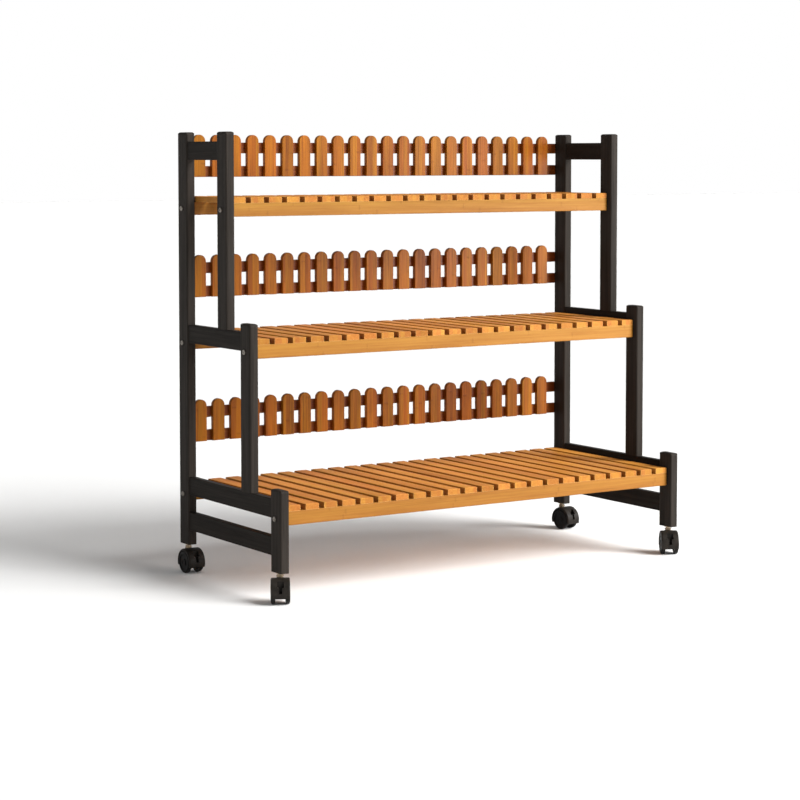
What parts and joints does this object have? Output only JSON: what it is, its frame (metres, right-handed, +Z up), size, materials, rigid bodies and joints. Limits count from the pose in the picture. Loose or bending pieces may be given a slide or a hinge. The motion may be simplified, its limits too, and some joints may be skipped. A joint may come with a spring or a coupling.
{
  "type": "plant pot caddy",
  "caption": "Stepped wheeled plant stand with slatted bamboo shelves, low picket guards at the back and dark wooden side frames on swivel casters.",
  "frame": {"origin": "on the floor, at the middle of the whole outline, casters included", "axes": "+X along the width to the viewer's right when facing the shelves, +Y to the rear, +Z up"},
  "size_m": [0.9054, 0.3966, 0.8],
  "materials": {
    "black_wood": "satin paint over bamboo",
    "bamboo_slat": "satin lacquer",
    "bamboo_rail": "satin lacquer",
    "bamboo_fence": "gloss lacquer",
    "dowel_wood": "plain",
    "bolt_steel": "zinc plated",
    "nut_steel": "zinc plated",
    "screw_steel": "zinc plated",
    "stem_steel": "yellow zinc plated",
    "insert_brass": "plain",
    "caster_plastic": "satin moulded",
    "wheel_plastic": "satin moulded"
  },
  "bodies": {
    "stand": {"left_rear_post": "black_wood", "left_top_post": "black_wood", "left_middle_post": "black_wood", "left_front_post": "black_wood", "left_top_rail": "black_wood", "left_middle_rail": "black_wood", "left_bottom_rail": "black_wood", "left_stretcher": "black_wood", "right_rear_post": "black_wood", "right_top_post": "black_wood", "right_middle_post": "black_wood", "right_front_post": "black_wood", "right_top_rail": "black_wood", "right_middle_rail": "black_wood", "right_bottom_rail": "black_wood", "right_stretcher": "black_wood", "top_shelf_front_rail": "bamboo_rail", "top_shelf_rear_rail": "bamboo_rail", "top_slats": "bamboo_slat", "top_fence_lower_rail": "bamboo_fence", "top_fence_upper_rail": "bamboo_fence", "top_pickets": "bamboo_fence", "middle_shelf_front_rail": "bamboo_rail", "middle_shelf_rear_rail": "bamboo_rail", "middle_slats": "bamboo_slat", "middle_fence_lower_rail": "bamboo_fence", "middle_fence_upper_rail": "bamboo_fence", "middle_pickets": "bamboo_fence", "bottom_shelf_front_rail": "bamboo_rail", "bottom_shelf_rear_rail": "bamboo_rail", "bottom_slats": "bamboo_slat", "bottom_fence_lower_rail": "bamboo_fence", "bottom_fence_upper_rail": "bamboo_fence", "bottom_pickets": "bamboo_fence", "shelf_bolts": "bolt_steel", "barrel_nuts": "nut_steel", "frame_dowels": "dowel_wood", "slat_screws": "screw_steel", "picket_screws": "screw_steel", "fence_screws": "screw_steel", "caster_stems": "stem_steel", "caster_inserts": "insert_brass"},
    "front_left_swivel": {"front_left_hood": "caster_plastic", "front_left_axle": "stem_steel"},
    "front_left_wheel_a": {"front_left_wheel_a": "wheel_plastic"},
    "front_left_wheel_b": {"front_left_wheel_b": "wheel_plastic"},
    "front_right_swivel": {"front_right_hood": "caster_plastic", "front_right_axle": "stem_steel"},
    "front_right_wheel_a": {"front_right_wheel_a": "wheel_plastic"},
    "front_right_wheel_b": {"front_right_wheel_b": "wheel_plastic"},
    "rear_left_swivel": {"rear_left_hood": "caster_plastic", "rear_left_axle": "stem_steel"},
    "rear_left_wheel_a": {"rear_left_wheel_a": "wheel_plastic"},
    "rear_left_wheel_b": {"rear_left_wheel_b": "wheel_plastic"},
    "rear_right_swivel": {"rear_right_hood": "caster_plastic", "rear_right_axle": "stem_steel"},
    "rear_right_wheel_a": {"rear_right_wheel_a": "wheel_plastic"},
    "rear_right_wheel_b": {"rear_right_wheel_b": "wheel_plastic"}
  },
  "joints": [
    {"name": "front_left_swivel_turn", "type": "hinge", "parent": "stand", "child": "front_left_swivel", "pos_m": [-0.42242, -0.16021, 0.045], "axis": [0, 0, 1], "continuous": true},
    {"name": "front_left_wheel_a_spin", "type": "hinge", "parent": "front_left_swivel", "child": "front_left_wheel_a", "pos_m": [-0.42765, -0.16989, 0.02], "axis": [-0.8796, 0.4756, 0], "continuous": true},
    {"name": "front_left_wheel_b_spin", "type": "hinge", "parent": "front_left_swivel", "child": "front_left_wheel_b", "pos_m": [-0.42765, -0.16989, 0.02], "axis": [-0.8796, 0.4756, 0], "continuous": true},
    {"name": "front_right_swivel_turn", "type": "hinge", "parent": "stand", "child": "front_right_swivel", "pos_m": [0.43258, -0.16021, 0.045], "axis": [0, 0, 1], "continuous": true},
    {"name": "front_right_wheel_a_spin", "type": "hinge", "parent": "front_right_swivel", "child": "front_right_wheel_a", "pos_m": [0.42685, -0.1696, 0.02], "axis": [-0.8536, 0.521, 0], "continuous": true},
    {"name": "front_right_wheel_b_spin", "type": "hinge", "parent": "front_right_swivel", "child": "front_right_wheel_b", "pos_m": [0.42685, -0.1696, 0.02], "axis": [-0.8536, 0.521, 0], "continuous": true},
    {"name": "rear_left_swivel_turn", "type": "hinge", "parent": "stand", "child": "rear_left_swivel", "pos_m": [-0.42242, 0.17379, 0.045], "axis": [0, 0, 1], "continuous": true},
    {"name": "rear_left_wheel_a_spin", "type": "hinge", "parent": "rear_left_swivel", "child": "rear_left_wheel_a", "pos_m": [-0.42242, 0.16279, 0.02], "axis": [-1, 0, 0], "continuous": true},
    {"name": "rear_left_wheel_b_spin", "type": "hinge", "parent": "rear_left_swivel", "child": "rear_left_wheel_b", "pos_m": [-0.42242, 0.16279, 0.02], "axis": [-1, 0, 0], "continuous": true},
    {"name": "rear_right_swivel_turn", "type": "hinge", "parent": "stand", "child": "rear_right_swivel", "pos_m": [0.43258, 0.17379, 0.045], "axis": [0, 0, 1], "continuous": true},
    {"name": "rear_right_wheel_a_spin", "type": "hinge", "parent": "rear_right_swivel", "child": "rear_right_wheel_a", "pos_m": [0.43392, 0.16287, 0.02], "axis": [-0.9925, -0.1219, 0], "continuous": true},
    {"name": "rear_right_wheel_b_spin", "type": "hinge", "parent": "rear_right_swivel", "child": "rear_right_wheel_b", "pos_m": [0.43392, 0.16287, 0.02], "axis": [-0.9925, -0.1219, 0], "continuous": true}
  ]
}
